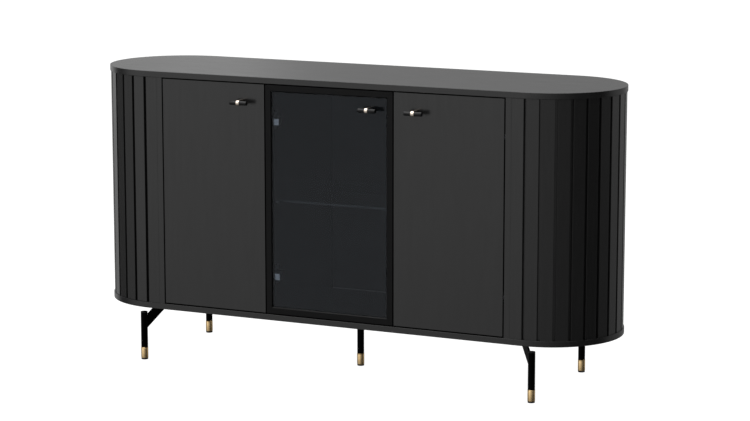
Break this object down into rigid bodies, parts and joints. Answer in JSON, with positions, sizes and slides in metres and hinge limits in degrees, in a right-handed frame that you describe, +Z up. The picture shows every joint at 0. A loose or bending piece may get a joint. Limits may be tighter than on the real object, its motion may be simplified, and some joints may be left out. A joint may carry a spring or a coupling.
{
  "type": "sideboard",
  "caption": "Long matt black sideboard with half-round slatted ends, two board doors, a smoked glass middle door, T-bar handles and slim brass-tipped legs",
  "frame": {"origin": "on the floor under the middle of the body outline, at the underside of the centre glide", "axes": "+X along the long side to the right as seen from the front, +Y from the doors to the back, +Z up"},
  "size_m": [1.5, 0.429, 0.808],
  "materials": {
    "black_board": "matt graphite black laminate",
    "slat_board": "matt graphite black laminate on slats",
    "hardboard": "black faced hardboard",
    "raw_board": "raw fibreboard",
    "clear_glass": "clear with faint green edge",
    "smoked_glass": "smoked grey, polished",
    "black_metal": "matt black powder coat",
    "black_plastic": "moulded black",
    "black_rubber": "soft black strip",
    "felt_pad": "soft pale pad",
    "brass": "satin brushed",
    "zinc_steel": "bright zinc",
    "nickel_steel": "satin nickel",
    "zinc_cast": "die cast zinc",
    "beech": "raw fluted beech"
  },
  "bodies": {
    "cabinet": {"top_panel": "black_board", "bottom_panel": "black_board", "left_upright": "black_board", "right_upright": "black_board", "left_partition": "black_board", "right_partition": "black_board", "left_back_panel": "hardboard", "middle_back_panel": "hardboard", "right_back_panel": "hardboard", "left_shelf": "black_board", "right_shelf": "black_board", "glass_shelf": "clear_glass", "shelf_pins": "zinc_steel", "left_end_core": "slat_board", "right_end_core": "slat_board", "left_end_ribs": "raw_board", "right_end_ribs": "raw_board", "left_slats": "slat_board", "right_slats": "slat_board", "front_left_leg": "black_metal", "front_right_leg": "black_metal", "rear_left_leg": "black_metal", "rear_right_leg": "black_metal", "centre_leg": "black_metal", "leg_caps": "black_plastic", "leg_ferrules": "brass", "leg_glides": "black_plastic", "leg_screws": "zinc_steel", "cam_locks": "zinc_cast", "cam_bolts": "zinc_steel", "dowels": "beech", "back_nails": "zinc_steel", "door_bumpers": "felt_pad", "left_hinge_arms": "nickel_steel", "glass_hinge_arms": "nickel_steel", "right_hinge_arms": "nickel_steel", "hinge_plates": "zinc_steel", "hinge_plate_screws": "zinc_steel"},
    "left_door": {"left_door_panel": "black_board", "left_handle_bar": "black_metal", "left_handle_post": "brass", "left_handle_screw": "zinc_steel", "left_hinge_cups": "nickel_steel", "left_hinge_pins": "zinc_steel"},
    "glass_door": {"glass_frame_stiles": "black_metal", "glass_frame_rails": "black_metal", "glass_pane": "smoked_glass", "glass_gasket": "black_rubber", "glass_handle_bar": "black_metal", "glass_handle_post": "brass", "glass_handle_screw": "zinc_steel", "glass_hinge_leaves": "nickel_steel", "glass_hinge_pins": "zinc_steel"},
    "right_door": {"right_door_panel": "black_board", "right_handle_bar": "black_metal", "right_handle_post": "brass", "right_handle_screw": "zinc_steel", "right_hinge_cups": "nickel_steel", "right_hinge_pins": "zinc_steel"}
  },
  "joints": [
    {"name": "left_door_hinge", "type": "hinge", "parent": "cabinet", "child": "left_door", "pos_m": [-0.495, -0.1925, 0.479], "axis": [0, 0, -1], "range_deg": [0, 95]},
    {"name": "glass_door_hinge", "type": "hinge", "parent": "cabinet", "child": "glass_door", "pos_m": [-0.182, -0.1925, 0.479], "axis": [0, 0, -1], "range_deg": [0, 95]},
    {"name": "right_door_hinge", "type": "hinge", "parent": "cabinet", "child": "right_door", "pos_m": [0.495, -0.1925, 0.479], "axis": [0, 0, 1], "range_deg": [0, 95]}
  ]
}
